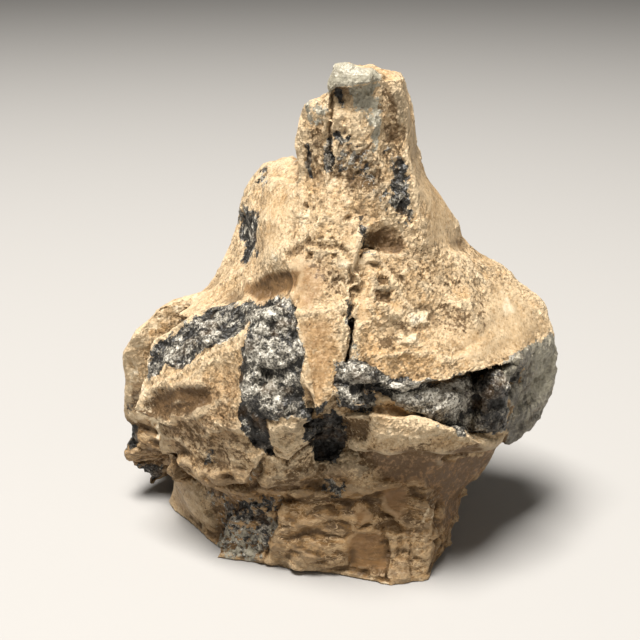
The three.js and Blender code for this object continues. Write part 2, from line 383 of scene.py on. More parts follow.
# Brown to amber smooth breaks
amberPatches = {
    "fan": (0.6, 9, smoothPatches["fan"][2]),
    "rib": (0.5, 9, smoothPatches["ribHollow"][2]),
    # Partly the amber of the smooth break under the prow's rim, partly painted shade under that rim
    "prowHollow": (0.95, 8, smoothPatches["prowHollow"][2]),
    # Painted shade: amber darkens the prow's front
    "prowFront": (0.55, 14, [(142, 402), (190, 384), (230, 380), (240, 420), (236, 450), (164, 444)]),
    "scoop": (1.0, 3, smoothPatches["scoop"][2]),
    "pocket": (0.8, 3, smoothPatches["pocket"][2]),
    **{name: smoothPatches[name] for name in ("undercut", "orange", "amberLeft", "amberRight")},
}

# Orange tan stain
honeyPatches = {
    "wingLow": (0.9, 14, [(358, 336), (400, 344), (432, 350), (434, 382), (392, 378), (364, 362)]),
    "ramp": (0.9, 6, [(368, 388), (386, 396), (404, 412), (404, 420), (370, 420)]),
    "capTop": (0.8, 5, [(380, 66), (402, 70), (404, 84), (384, 80)]),
    "rib": (0.85, 10, [(304, 318), (332, 320), (338, 380), (312, 416)]),
    "fan": (0.5, 8, [(286, 262), (324, 262), (320, 290), (304, 318), (290, 300)]),
    "ribEdge": (0.7, 5, [(289, 300), (300, 306), (312, 318), (302, 330), (297, 316)]),
    "wingPits": (0.6, 9, [(356, 270), (392, 272), (396, 310), (362, 330)]),
    "olive": (0.8, 6, [(354, 294), (370, 294), (402, 302), (402, 314), (370, 322), (356, 324)]),
}

# Cream to chalk, pale and clean
creamPatches = {
    "chest": (0.5, 7, [(292, 212), (306, 208), (320, 220), (317, 236), (296, 234)]),
    "chestLow": (0.9, 4, [(338, 260), (349, 259), (349, 269), (340, 269)]),
    "shoulder": (0.8, 5, [(270, 250), (280, 248), (280, 258), (272, 258)]),
    "wingEdge": (0.8, 5, [(501, 294), (511, 294), (513, 312), (503, 312)]),
    "wingTop": (0.8, 5, [(480, 270), (490, 271), (489, 282), (481, 281)]),
    "wingMid": (0.8, 6, [(406, 314), (432, 311), (430, 322), (410, 328)]),
    "wingLow": (0.8, 6, [(396, 336), (420, 333), (418, 343), (400, 346)]),
    "spireFoot": (0.7, 5, [(322, 178), (340, 176), (338, 186), (324, 188)]),
    "footStreak": (0.3, 5, [(412, 540), (428, 540), (430, 585), (416, 586)]),
    "footRim": (0.3, 5, [(354, 572), (384, 576), (394, 588), (372, 586)]),
    "baseMid": (0.4, 4, [(282, 520), (294, 520), (292, 530), (284, 528)]),
    "scratch": (0.5, 1.5, [(419, 527), (435, 497), (439, 494), (425, 528)]),
    "scratchRight": (0.5, 1.5, [(429, 527), (440, 501), (444, 499), (434, 528)]),
    "leftSide": (0.5, 9, [(122, 356), (146, 352), (146, 420), (128, 424)]),
    "shelf": (0.4, 8, [(372, 424), (440, 424), (462, 440), (400, 446)]),
    "leftRear": (0.5, 9, [(128, 352), (152, 308), (204, 293), (206, 302), (164, 322), (146, 350)]),
    "lipUnderStub": (0.9, 3, [(346, 410), (362, 411), (360, 417), (348, 416)]),
}

# Dark brown dirt, and painted shade where the block shades itself: under the shelf, the stub and the prow's
# rim, down the prow's front and lower part, in the undercut, the pocket, the crease below the chest's knob
# and in the pits and steps of the wing
dirtAndShadePatches = {
    "crease": (0.5, 9, [
        (288, 252), (304, 240), (340, 243), (351, 256), (346, 262), (330, 252), (304, 252), (292, 260),
    ]),
    "wingPits": (0.8, 6, [(376, 276), (388, 276), (392, 302), (378, 304)]),
    "spire": (0.8, 9, [(383, 88), (404, 90), (409, 122), (388, 123)]),
    "spireMid": (0.78, 9, [
        (336, 142), (372, 140), (384, 170), (392, 206), (372, 200), (346, 186), (330, 178),
    ]),
    "spireLow": (0.7, 9, [(384, 122), (405, 122), (410, 162), (388, 162)]),
    "plate": (0.6, 8, [(303, 124), (330, 122), (330, 182), (304, 182)]),
    "chestLow": (0.5, 9, [(300, 236), (345, 236), (348, 296), (330, 300), (304, 262)]),
    "stepHigh": (0.75, 6, [(396, 321), (416, 320), (424, 328), (402, 332)]),
    "stepLow": (0.75, 6, [(374, 333), (396, 335), (394, 345), (378, 344)]),
    "wingMid": (0.5, 10, [(437, 304), (490, 302), (488, 330), (442, 334)]),
    "wingHigh": (0.42, 14, [(376, 262), (430, 256), (470, 280), (430, 300), (392, 290)]),
    "undercut": (0.7, 9, smoothPatches["undercut"][2]),
    "pocket": (0.7, 4, smoothPatches["pocket"][2]),
    "underShelf": (0.7, 9, [
        (300, 462), (362, 448), (440, 456), (430, 474), (330, 480), (280, 492), (230, 490),
    ]),
    "left": (0.6, 9, [(194, 484), (240, 490), (226, 512), (204, 512)]),
    "recess": (0.9, 8, [(338, 418), (372, 418), (368, 440), (344, 440)]),
    "prowTip": (0.9, 7, [
        (136, 408), (146, 393), (176, 384), (208, 386), (214, 402), (194, 418), (158, 426), (138, 418),
    ]),
    "prowFront": (0.42, 14, [(146, 402), (190, 384), (232, 376), (240, 410), (236, 440), (160, 436)]),
    "prowLow": (0.52, 14, [(150, 404), (236, 404), (256, 450), (240, 486), (180, 470), (160, 440)]),
}

# Places low on the block that stay tan
tanPatches = {
    "lowLeft": (0.9, 9, [(159, 472), (196, 480), (212, 500), (210, 534), (188, 524), (162, 508)]),
    "lowRim": (0.5, 8, [(266, 545), (300, 556), (350, 564), (350, 580), (290, 574), (264, 566)]),
    "footBlock": (0.3, 6, smoothPatches["footBlock"][2]),
}

# Spongy bone, full of pores
porePatches = {
    "chest": (1.0, 8, [
        (287, 205), (330, 200), (352, 212), (348, 246), (330, 242), (300, 246), (286, 236),
    ]),
    "spireFront": (0.35, 8, [(335, 106), (370, 110), (380, 150), (372, 190), (334, 182)]),
    "ribRight": (0.5, 8, [(328, 268), (348, 268), (348, 330), (332, 330)]),
}

# Local forms: how deep they are pressed in (mm, minus is raised), how soft the rim is (pixels) and the
# outline
forms = {
    "prowHollow": (1.5, 10, [
        (139, 404), (150, 393), (176, 385), (206, 388), (212, 404), (190, 416), (160, 424), (140, 416),
    ]),
    "ledgeHigh": (-0.8, 4, [(408, 316), (420, 311), (434, 310), (430, 318), (434, 324), (414, 327)]),
    "ledgeLow": (-0.8, 4, [(396, 334), (408, 335), (420, 331), (418, 340), (424, 346), (400, 345)]),
    "ledgeRight": (-0.3, 9, [(430, 356), (470, 346), (506, 326), (520, 336), (474, 362), (440, 368)]),
    "panelUnderCap": (0.4, 6, [(332, 91), (382, 84), (384, 112), (338, 114)]),
    "grooveFace": (0.2, 4, bonePatches["grooveFace"][2]),
    "pocket": (0.5, 4, smoothPatches["pocket"][2]),
    "chestPit": (1.0, 4, [(304, 251), (313, 250), (313, 258), (305, 259)]),
    "chestPitRight": (0.8, 3, [(330, 253), (338, 253), (337, 260), (331, 259)]),
    "pitHigh": (1.1, 5, [(376, 276), (388, 276), (387, 287), (377, 287)]),
    "pitLow": (1.2, 5, [(374, 290), (392, 292), (391, 305), (376, 303)]),
    "notch": (1.4, 4, bonePatches["notch"][2]),
    "bandRight": (-1.2, 6, [(472, 374), (498, 370), (506, 380), (498, 396), (470, 392)]),
    "bandEnd": (-1.8, 5, [(500, 364), (518, 353), (524, 362), (512, 374), (502, 376)]),
    "crackFill": (-1.5, 3, [(351, 272), (361, 272), (361, 288), (351, 288)]),
    "chipFill": (-1.5, 4, [(360, 252), (378, 252), (378, 264), (360, 264)]),
    "underStub": (0.5, 5, [(341, 417), (372, 417), (368, 440), (344, 442)]),
    "ribHollow": (0.8, 14, smoothPatches["ribHollow"][2]),
    "orange": (0.9, 4, smoothPatches["orange"][2]),
    "amberLeft": (0.7, 6, smoothPatches["amberLeft"][2]),
    "amberRight": (0.9, 6, smoothPatches["amberRight"][2]),
    "scoop": (1.1, 5, smoothPatches["scoop"][2]),
    "smallLump": (-1.2, 6, [(270, 421), (290, 417), (306, 424), (304, 444), (286, 452), (270, 444)]),
    "tinyLump": (-0.9, 4, [(271, 452), (285, 452), (284, 461), (272, 461)]),
    "footBlock": (-0.5, 4, smoothPatches["footBlock"][2]),
    "cap": (-0.4, 4, greyPatches["cap"][2]),
    "band": (-1.6, 8, bonePatches["band"][2]),
    "slantHole": (-1.2, 7, [(355, 226), (371, 226), (371, 250), (356, 250)]),
}

# The kinds of patch, each with its mask; the order sets the seed of the blotches
patchesOf = {
    "bone": bonePatches,
    "ink": inkPatches,
    "grey": greyPatches,
    "pale": palePatches,
    "smooth": smoothPatches,
    "amber": amberPatches,
    "honey": honeyPatches,
    "cream": creamPatches,
    "dirtAndShade": dirtAndShadePatches,
    "pores": porePatches,
}

# Out of sight the same kinds come by noise: mm size, seed, the noise where a patch begins and where it is
# full, and how much of it is covered
unseenPatches = {
    "bone": (22.0, 29, 0.30, 0.42, 1.0),
    "ink": (12.0, 83, 0.0, 0.3, 1.0),
    "grey": (17.0, 57, 0.40, 0.50, 1.0),
    "pale": (8.0, 19, 0.1, 0.4, 1.0),
    "smooth": (20.0, 47, 0.15, 0.35, 1.0),
    "amber": (24.0, 53, -0.1, 0.3, 0.7),
    "honey": (16.0, 61, 0.2, 0.5, 1.0),
    "cream": (9.0, 23, 0.40, 0.6, 0.7),
    "dirtAndShade": (13.0, 41, 0.2, 0.5, 0.8),
    "pores": (18.0, 39, 0.3, 0.5, 1.0),
}

# The bed of bone that goes on across the block out of sight
bed = {
    "height": 40.0,  # mm above the floor, at the middle of the block
    "climb": 0.12,  # mm up for each mm along X
    "waves": (26.0, 9.0),  # mm size and height
    "thick": (3.0, 8.0),  # mm from its middle where bone is whole and where it ends
    "from": (-2.0, 8.0),  # mm along Y over which it comes in
}

# Thin lines in the same frame: depth in mm (minus is a ridge), half width in pixels and the points
scores = {
    "besideRib": (1.0, 2.8, [(349, 268), (352, 296), (351, 330), (347, 362)]),
    "spireGroove": (0.9, 2.6, [(331, 94), (329, 130), (331, 182)]),
    "plateRidge": (-0.6, 3.0, [(328, 92), (325, 112), (324, 132)]),
    "crease": (0.5, 5.0, [(289, 254), (304, 243), (324, 245), (340, 246), (350, 258)]),
    "prowRim": (-0.4, 3.0, [(134, 408), (141, 392), (162, 383), (200, 359), (246, 327)]),
    "wingStep": (0.2, 4.0, [(368, 300), (384, 318), (408, 330)]),
    "wingLine": (0.2, 4.0, [(452, 356), (478, 338), (498, 318)]),
    "wingDiagonal": (-0.4, 5.0, [(380, 262), (396, 288), (412, 312)]),
    "underSmallLump": (1.2, 2.4, [(268, 452), (288, 462), (304, 450), (316, 446)]),
    "footJoint": (0.8, 2.4, [(385, 532), (386, 560), (388, 588)]),
    "footSplit": (0.5, 2.0, [(410, 540), (412, 588)]),
    "baseSeam": (0.8, 3.0, [(280, 500), (274, 530), (264, 562)]),
}


# Stretches the block towards the side with the bone, and back, so that even cells come out finer there:
# along Y the stretch is the integral of exp(-k y), across it the same exp(-k y)
def stretch(points, back=False):
    k = stone["nearer"]
    x, y, z = points.T
    if back:
        y = -np.log(1 - k * y) / k
        return np.stack((x * np.exp(k * y), y, z * np.exp(k * y)), 1)
    return np.stack((x * np.exp(-k * y), (1 - np.exp(-k * y)) / k, z * np.exp(-k * y)), 1)


# The CAD solid as one skin of quads: merged, stretched, cut into even cells and brought back. The block
# overhangs itself in places, so a height over two parameters couldn't carry it
def fineSkin():
    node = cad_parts[stone["node"]]
    merged = bmesh.new()
    merged.from_mesh(node.data)
    bmesh.ops.remove_doubles(merged, verts=merged.verts, dist=1e-6)
    mesh = bpy.data.meshes.new("rough")
    merged.to_mesh(mesh)
    merged.free()
    writePoints(mesh, stretch(readPoints(mesh)))
    rough = bpy.data.objects.new("rough", mesh)
    bpy.context.scene.collection.objects.link(rough)
    remesh = rough.modifiers.new("cells", "REMESH")
    remesh.mode = "VOXEL"
    remesh.voxel_size = stone["cell"] * mm
    bpy.context.view_layer.update()
    skin = bpy.data.meshes.new_from_object(rough.evaluated_get(bpy.context.evaluated_depsgraph_get()))
    bpy.data.objects.remove(rough)
    writePoints(skin, stretch(readPoints(skin), back=True))
    return skin


# Points of a mesh in mm, one row each
def readPoints(mesh):
    flat = np.zeros(len(mesh.vertices) * 3, np.float32)
    mesh.vertices.foreach_get("co", flat)
    return flat.reshape(-1, 3).astype(float) / mm


def writePoints(mesh, points):
    mesh.vertices.foreach_set("co", (points * mm).astype(np.float32).ravel())
    mesh.update()


def readNormals(mesh):
    flat = np.zeros(len(mesh.vertices) * 3, np.float32)
    mesh.vertex_normals.foreach_get("vector", flat)
    return flat.reshape(-1, 3).astype(float)


# Each round moves every point half the way to the mean of its neighbours
def relax(points, edges, rounds):
    count = np.bincount(edges.ravel(), minlength=len(points))[:, None]
    for _ in range(rounds):
        sums = np.stack([
            np.bincount(edges[:, 0], points[edges[:, 1], k], len(points))
            + np.bincount(edges[:, 1], points[edges[:, 0], k], len(points))
            for k in range(points.shape[1])
        ], 1)
        points = 0.5 * points + 0.5 * sums / np.maximum(count, 1)
    return points


# Evens out the points along the surface: half the way to the mean of the neighbours, less the part that
# goes across it
def slide(points, normals, edges, rounds):
    for _ in range(rounds):
        move = relax(points, edges, 1) - points
        points = points + move - np.sum(move * normals, axis=1)[:, None] * normals
    return points


# Where the camera sees each point: column, row and how far it is in plain sight, 0 to 1
def photoPlane(points, normals):
    toPoint = points - eye
    depth = toPoint @ forward
    column = view["frame"] / 2 + view["focal"] * toPoint[:, 0] / depth
    row = view["frame"] / 2 - view["focal"] * (toPoint @ upward) / depth
    facing = -np.sum(normals * toPoint, axis=1) / np.linalg.norm(toPoint, axis=1)
    pixels = stone["sightTile"]
    across = int(view["frame"] / pixels) + 2
    tileColumn = np.clip(column / pixels, 0, across - 1).astype(int)
    tileRow = np.clip(row / pixels, 0, across - 1).astype(int)
    tile = tileColumn + across * tileRow
    front = np.full(across * across, 1e9)
    np.minimum.at(front, tile, depth)
    clear = 1 - smoothstep(*stone["sightDepth"], depth - front[tile])
    return column, row, clear * smoothstep(*stone["sightTurn"], facing)


# How far each pixel is covered by a kind of patch, 0 to 1
def covered(column, row, patches):
    cover = np.zeros(len(column))
    for share, soft, outline in patches.values():
        cover = np.maximum(cover, share * smoothstep(-soft, soft, insideOutline(column, row, outline)))
    return cover


# Cover of each kind out of sight: patches of noise, and the bone also as a bed across the block
def unseenCover(points):
    cover = {}
    for name, (size, seed, begin, full, amount) in unseenPatches.items():
        cover[name] = amount * smoothstep(begin, full, swells(points, size, seed))
    size, height = bed["waves"]
    middle = points[:, 2] - bed["height"] - bed["climb"] * points[:, 0] + height * swells(points, size, 71)
    cover["bone"] = np.maximum(1 - smoothstep(*bed["thick"], np.abs(middle)), cover["bone"])
    cover["bone"] *= smoothstep(*bed["from"], points[:, 1])
    cover["ink"] *= cover["bone"]
    cover["pale"] *= cover["bone"]
    cover["amber"] *= cover["smooth"]
    return cover


# Masks of every kind of stone: how far each point is covered, 0 to 1, blotched by noise where that is
# between the two
def zoneMasks(points, normals):
    plainColumn, plainRow, seen = photoPlane(points, normals)
    size, pixels = stone["wander"]
    column = plainColumn + pixels * swells(points, size, 5, 4)
    row = plainRow + pixels * swells(points, size, 6, 4)
    unseen = unseenCover(points)
    masks = {}
    size, strength = stone["mottle"]
    for seed, (name, patches) in enumerate(patchesOf.items()):
        cover = covered(column, row, patches) * seen + unseen[name] * (1 - seen)
        mottle = swells(points, size, 101 + seed)
        masks[name] = np.clip(cover + strength * mottle * cover * (1 - cover), 0, 1)
    # Low on the block the stone is brown and breaks in clean planes, as glass does
    size, height = stone["brownWaves"]
    masks["brown"] = 1 - smoothstep(*stone["brownBelow"], points[:, 2] + height * swells(points, size, 37))
    masks["brown"] *= 1 - stone["tanLeft"] * covered(column, row, tanPatches) * seen
    # Painted shade on the undersides, which look down, added to the mask of dirt
    full, amount = stone["underShade"]
    masks["dirtAndShade"] = np.maximum(masks["dirtAndShade"], amount * smoothstep(0.0, full, -normals[:, 2]))
    return plainColumn, plainRow, seen, masks


def makeBlock():
    mesh = fineSkin()
    edges = np.zeros(len(mesh.edges) * 2, np.int32)
    mesh.edges.foreach_get("vertices", edges)
    edges = edges.reshape(-1, 2)
    points = relax(readPoints(mesh), edges, stone["soften"])
    writePoints(mesh, points)
    normals = readNormals(mesh)
    print("fine skin:", len(mesh.polygons), "faces")

    column, row, seen, masks = zoneMasks(points, normals)
    share = {"bone": np.maximum(masks["bone"], masks["grey"])}
    share["smooth"] = masks["smooth"] * (1 - masks["bone"])
    share["bone"] = share["bone"] * (1 - share["smooth"])
    share["brown"] = masks["brown"] * (1 - share["bone"]) * (1 - share["smooth"])
    share["crust"] = np.clip(1 - share["bone"] - share["smooth"] - share["brown"], 0, 1)
    share["fluted"] = share["crust"] * smoothstep(*stone["flutedAbove"], points[:, 2])
    share["crust"] -= share["fluted"]
    onFoot = smoothstep(*stone["flatFoot"], points[:, 2])

    # Large breaks, and the forms that the outlines press in or raise
    size, height = stone["heave"]
    relief = height * swells(points, size, 17) - stone["settle"]
    size, height = stone["breaks"]
    relief += height * flakes(points, size, 3)[0] * (1 - stone["breaksLost"] * share["smooth"])
    relief -= stone["recess"] * smoothstep(*stone["recessRim"], masks["bone"])
    for depth, soft, outline in forms.values():
        outside = -stone["formRim"] * soft
        relief -= depth * smoothstep(outside, soft, insideOutline(column, row, outline)) * seen
    points = points + normals * (relief * onFoot)[:, None]
    writePoints(mesh, points)
    normals = readNormals(mesh)
    even = slide(points, normals, edges, stone["slideRounds"])
    points = points + (even - points) * onFoot[:, None]
    writePoints(mesh, points)
    normals = readNormals(mesh)

    # Fine breaks of each kind of stone, then pores and scored lines
    relief = np.zeros(len(points))
    for seed, (kind, layers) in enumerate(breaksOf.items()):
        for size, height, packed in layers:
            if kind in planar:
                relief += height * facets(points * packed, size, 43 + 7 * seed) * share[kind]
            else:
                relief += height * flakes(points * packed, size, 43 + 7 * seed)[0] * share[kind]
    size, height = stone["pores"]
    pore = 1 - smoothstep(*stone["poreRim"], flakes(points, size, 67)[1])
    size, begin, full = stone["poreGroups"]
    relief -= height * pore * masks.pop("pores") * smoothstep(begin, full, swells(points, size, 73))
    size, pixels = stone["scoreWander"]
    column = column + pixels * swells(points, size, 8)
    row = row + pixels * swells(points, size, 9)
    for depth, half, line in scores.values():
        floor = stone["scoreFloor"] * half
        relief -= depth * (1 - smoothstep(floor, half, besideLine(column, row, line))) * seen
    points = points + normals * (relief * onFoot)[:, None]
    even = relax(points, edges, stone["smoothRounds"])
    points = points + (even - points) * (stone["smoothShare"] * share["smooth"] * onFoot)[:, None]
    writePoints(mesh, points)
    normals = readNormals(mesh)

    # How deep a point lies under its surroundings, 0 to 1, with 0.5 for a flat place
    hollow = np.full(len(points), 0.5)
    for rounds, gain in zip(stone["hollowRounds"], stone["hollowGain"]):
        hollow += gain * np.sum((relax(points, edges, rounds) - points) * normals, axis=1)
    masks["hollow"] = np.clip(hollow, 0, 1)

    # Grains: every point is nudged its own way, and the faces of rough stone stay flat
    rough = sum(graininess[kind] * share[kind] for kind in graininess)
    nudge = cellRandom(np.round(points / stone["nudgeGrid"]), 7) * 2 - 1
    outward = np.sum(nudge * normals, axis=1)[:, None] * normals
    sideways, upright = stone["nudge"]
    points = points + ((nudge - outward) * sideways + outward * upright) * (rough * onFoot)[:, None]
    points = np.clip(points, np.array(cadLow) / mm, np.array(cadHigh) / mm)
    writePoints(mesh, points)

    corners = np.zeros(len(mesh.loops), np.int32)
    mesh.loops.foreach_get("vertex_index", corners)
    starts = np.zeros(len(mesh.polygons), np.int32)
    mesh.polygons.foreach_get("loop_start", starts)
    faceRough = np.add.reduceat(rough[corners], starts) / np.diff(np.append(starts, len(corners)))
    mesh.polygons.foreach_set("use_smooth", faceRough < stone["flatFaces"])
    centres = np.zeros(len(mesh.polygons) * 3, np.float32)
    mesh.polygons.foreach_get("center", centres)
    grain = cellRandom(np.round(centres.reshape(-1, 3) / (stone["nudgeGrid"] * mm)), 9)[:, 0]
    mesh.attributes.new("grain", "FLOAT", "FACE").data.foreach_set("value", grain.astype(np.float32))
    for name, values in masks.items():
        mesh.attributes.new(name, "FLOAT", "POINT").data.foreach_set("value", values.astype(np.float32))
    mesh.name = "fossil_block"
    piece = bpy.data.objects.new("fossil_block", mesh)
    bpy.context.scene.collection.objects.link(piece)
    print("block made:", len(mesh.polygons) * 2, "triangles")
    return piece


# A node with its settings and inputs; an input that is a socket is linked
def addNode(tree, kind, inputs=None, **settings):
    made = tree.nodes.new(kind)
    for name, value in settings.items():
        setattr(made, name, value)
    for name, value in (inputs or {}).items():
        socket = made.inputs[name]
        if isinstance(value, bpy.types.NodeSocket):
            tree.links.new(value, socket)
        else:
            socket.default_value = value
    return made


# Sockets 0, 6, 7 and 2 are the factor, the two colours and the mixed colour
def mixColour(tree, factor, first, second):
    made = addNode(tree, "ShaderNodeMix", {0: factor, 6: first, 7: second}, data_type="RGBA")
    return made.outputs[2]


def numbers(tree, operation, first, second):
    return addNode(tree, "ShaderNodeMath", {0: first, 1: second}, operation=operation).outputs[0]


def vectors(tree, operation, first, second):
    return addNode(tree, "ShaderNodeVectorMath", {0: first, 1: second}, operation=operation)


def ramp(tree, value, low, high):
    limits = {"Value": value, "From Min": low, "From Max": high}
    return addNode(tree, "ShaderNodeMapRange", limits, interpolation_type="SMOOTHSTEP").outputs[0]


def noise(tree, place, size, detail=3.0, rough=0.55, warp=0.0):
    made = addNode(tree, "ShaderNodeTexNoise", {
        "Vector": place, "Scale": 1 / (size * mm), "Detail": detail, "Roughness": rough, "Distortion": warp,
    })
    return made.outputs["Fac"]


# Colours of the finish, linear
finish = {
    "buff": (0.60, 0.44, 0.26, 1),
    "sand": (0.50, 0.345, 0.185, 1),
    "honey": (0.55, 0.335, 0.145, 1),
    "ochre": (0.31, 0.18, 0.07, 1),
    "umber": (0.092, 0.047, 0.013, 1),
    "bister": (0.205, 0.105, 0.027, 1),
    "amber": (0.25, 0.128, 0.042, 1),
    "cream": (0.74, 0.60, 0.40, 1),
    "chalk": (0.78, 0.69, 0.53, 1),
    "black": (0.018, 0.016, 0.013, 1),
    "slate": (0.12, 0.108, 0.088, 1),
    "ash": (0.37, 0.34, 0.275, 1),
    "glint": (0.68, 0.64, 0.55, 1),
    "olive": (0.40, 0.365, 0.275, 1),
    "pearl": (0.52, 0.485, 0.37, 1),
}


# Spots in the crust and in the brown stone, from the lowest layer up: colour, pattern, the pattern's value
# where a spot begins and where it is full, and how much it covers
crustSpots = [
    ("ochre", "fine", 0.50, 0.68, 0.65),
    ("umber", "speck", 0.57, 0.70, 0.65),
    ("cream", "speck", 0.44, 0.32, 0.5),
    ("umber", "dust", 0.58, 0.72, 0.55),
    ("cream", "dust", 0.42, 0.28, 0.45),
    ("umber", "grain", 0.85, 1.0, 0.3),
    ("cream", "grain", 0.20, 0.0, 0.3),
]
earthSpots = [
    ("honey", "streak", 0.54, 0.68, 0.75),
    ("honey", "fine", 0.56, 0.70, 0.5),
    ("umber", "speck", 0.56, 0.68, 0.65),
]

# Masks of the block that the finish reads
maskNames = (
    "bone", "ink", "grey", "pale", "smooth", "amber", "honey", "cream", "dirtAndShade", "brown", "hollow", "grain",
)


# Broken grains as a shader pattern: a height of flat facets, each tilted its own way
def grains(tree, place, size, steep):
    cells = addNode(tree, "ShaderNodeTexVoronoi", {"Vector": place, "Scale": 1 / (size * mm)})
    tiltOf = vectors(tree, "SUBTRACT", cells.outputs["Color"], (0.5, 0.5, 0.5)).outputs[0]
    offset = vectors(tree, "SUBTRACT", place, cells.outputs["Position"]).outputs[0]
    plane = vectors(tree, "DOT_PRODUCT", tiltOf, offset).outputs["Value"]
    return numbers(tree, "MULTIPLY", plane, steep)


def fossilFinish():
    material = bpy.data.materials.new("fossil_stone")
    material.use_nodes = True
    tree = material.node_tree
    tree.nodes.clear()
    place = addNode(tree, "ShaderNodeTexCoord").outputs["Object"]
    mask = {}
    for name in maskNames:
        mask[name] = addNode(tree, "ShaderNodeAttribute", attribute_name=name).outputs["Fac"]
    # Noise from broad to dust, sizes in mm; upright, level and drawn pull it out along an axis
    broad = noise(tree, place, 12.0, 4)
    patchy = noise(tree, place, 4.5, 4)
    fine = noise(tree, place, 1.6, 4, 0.65)
    speck = noise(tree, place, 0.7, 3, 0.65)
    dust = noise(tree, place, 0.38, 2, 0.6)
    upright = addNode(tree, "ShaderNodeMapping", {"Vector": place, "Scale": (1, 1, 0.22)}).outputs[0]
    fibre = noise(tree, upright, 0.9, 3, 0.6)
    level = addNode(tree, "ShaderNodeMapping", {"Vector": place, "Scale": (0.3, 0.3, 1.4)}).outputs[0]
    layers = noise(tree, level, 1.3, 4, 0.6, 0.4)
    drawn = addNode(tree, "ShaderNodeMapping", {"Vector": place, "Scale": (0.45, 1, 1.3)}).outputs[0]
    streak = noise(tree, drawn, 2.4, 5, 0.65, 0.6)
    vein = noise(tree, drawn, 1.7, 4, 0.6, 1.2)
    pattern = {"fine": fine, "speck": speck, "dust": dust, "streak": streak, "grain": mask["grain"]}

    def share(factor, amount):
        return numbers(tree, "MULTIPLY", factor, amount)

    def over(below, above, factor):
        return mixColour(tree, factor, below, finish[above])

    def spotted(below, spots):
        for above, name, begin, full, amount in spots:
            below = over(below, above, share(ramp(tree, pattern[name], begin, full), amount))
        return below

    # A cover from 0 to 1 broken up into spots: noise shifts it before it is cut off between low and high,
    # and a place without cover stays bare
    def broken(cover, low, high, coarse=1.5, small=0.9):
        shift = numbers(tree, "ADD", share(fine, coarse), share(speck, small))
        shifted = numbers(tree, "ADD", cover, numbers(tree, "SUBTRACT", shift, (coarse + small) / 2))
        return share(ramp(tree, shifted, low, high), ramp(tree, cover, 0.02, 0.14))

    # Brown stone low on the block: drawn out streaks, dark and light spots and thin light veins, which run
    # where their noise is within 0.03 of 0.5
    thin = addNode(tree, "ShaderNodeMath", {0: vein, 1: 0.5, 2: 0.03}, operation="COMPARE").outputs[0]
    earth = mixColour(tree, ramp(tree, streak, 0.42, 0.55), finish["umber"], finish["bister"])
    earth = spotted(earth, earthSpots)
    earth = over(earth, "sand", share(share(thin, ramp(tree, patchy, 0.42, 0.56)), 0.85))

    # Crust: buff and sand with honey stains, dark and light spots, brown in the hollows as painted shade,
    # cream on raised edges as painted highlight
    crust = mixColour(tree, ramp(tree, broad, 0.40, 0.64), finish["buff"], finish["sand"])
    crust = over(crust, "honey", share(ramp(tree, patchy, 0.50, 0.70), 0.5))
    crust = over(crust, "honey", share(mask["honey"], 0.7))
    crust = spotted(crust, crustSpots)
    crust = mixColour(tree, share(mask["brown"], 0.95), crust, earth)
    resin = mixColour(tree, share(ramp(tree, layers, 0.45, 0.68), 0.6), finish["amber"], finish["umber"])
    crust = mixColour(tree, share(mask["amber"], 0.85), crust, resin)
    # Umber from the mask of dark brown dirt and painted shade
    crust = over(crust, "umber", share(broken(mask["dirtAndShade"], 0.35, 0.75, 0.9, 2.0), 0.85))
    # Painted shade: umber in the hollows
    crust = over(crust, "umber", share(ramp(tree, mask["hollow"], 0.56, 0.85), 0.7))
    # Painted highlight: cream, and sand on brown stone, on raised edges
    ridgeHighlight = ramp(tree, mask["hollow"], 0.46, 0.25)
    crust = over(crust, "cream", share(ridgeHighlight, numbers(tree, "SUBTRACT", 0.4, share(mask["brown"], 0.35))))
    crust = over(crust, "sand", share(ridgeHighlight, share(mask["brown"], 0.3)))
    crust = over(crust, "cream", share(broken(mask["cream"], 0.30, 0.70), 0.8))
    crust = over(crust, "chalk", share(broken(mask["cream"], 0.70, 0.95), 0.7))

    # Bone: every spot has a tone, from black over slate to ash and a few painted glints. Streaks and small
    # blocks vary it, pale patches raise it, ink lowers it and hollows lower it as painted shade
    spot = numbers(tree, "ADD", share(mask["grain"], 0.2), share(ramp(tree, speck, 0.3, 0.7), 0.35))
    spot = numbers(tree, "ADD", spot, share(ramp(tree, dust, 0.3, 0.7), 0.45))
    tone = numbers(tree, "ADD", spot, share(mask["pale"], 0.36))
    tone = numbers(tree, "ADD", tone, share(numbers(tree, "SUBTRACT", streak, 0.5), 1.1))
    tone = numbers(tree, "ADD", tone, share(numbers(tree, "SUBTRACT", patchy, 0.52), 0.7))
    blocks = addNode(tree, "ShaderNodeTexVoronoi", {"Vector": place, "Scale": 1 / (1.3 * mm)})
    block = addNode(tree, "ShaderNodeSeparateColor", {"Color": blocks.outputs["Color"]}).outputs[0]
    tone = numbers(tree, "ADD", tone, share(numbers(tree, "SUBTRACT", block, 0.5), 0.5))
    tone = numbers(tree, "SUBTRACT", tone, share(mask["ink"], 0.35))
    # Painted shade: the bone goes black in the hollows
    tone = numbers(tree, "SUBTRACT", tone, share(ramp(tree, mask["hollow"], 0.54, 0.80), 0.5))
    bone = mixColour(tree, ramp(tree, tone, 0.22, 0.50), finish["black"], finish["slate"])
    bone = over(bone, "ash", ramp(tree, tone, 0.48, 0.80))
    bone = over(bone, "glint", ramp(tree, tone, 0.80, 0.95))
    bone = over(bone, "umber", share(ramp(tree, patchy, 0.52, 0.68), 0.5))

    # Paler bone: olive with upright slate fibres and umber streaks where it isn't pale
    bare = numbers(tree, "SUBTRACT", 0.85, share(mask["pale"], 0.7))
    grey = over(finish["olive"], "slate", share(ramp(tree, fibre, 0.42, 0.56), bare))
    grey = over(grey, "umber", share(share(ramp(tree, streak, 0.50, 0.64), bare), 0.6))
    grey = over(grey, "ash", ramp(tree, spot, 0.5, 0.9))
    grey = over(grey, "slate", share(mask["ink"], 0.8))
    grey = over(grey, "pearl", share(mask["pale"], 0.6))

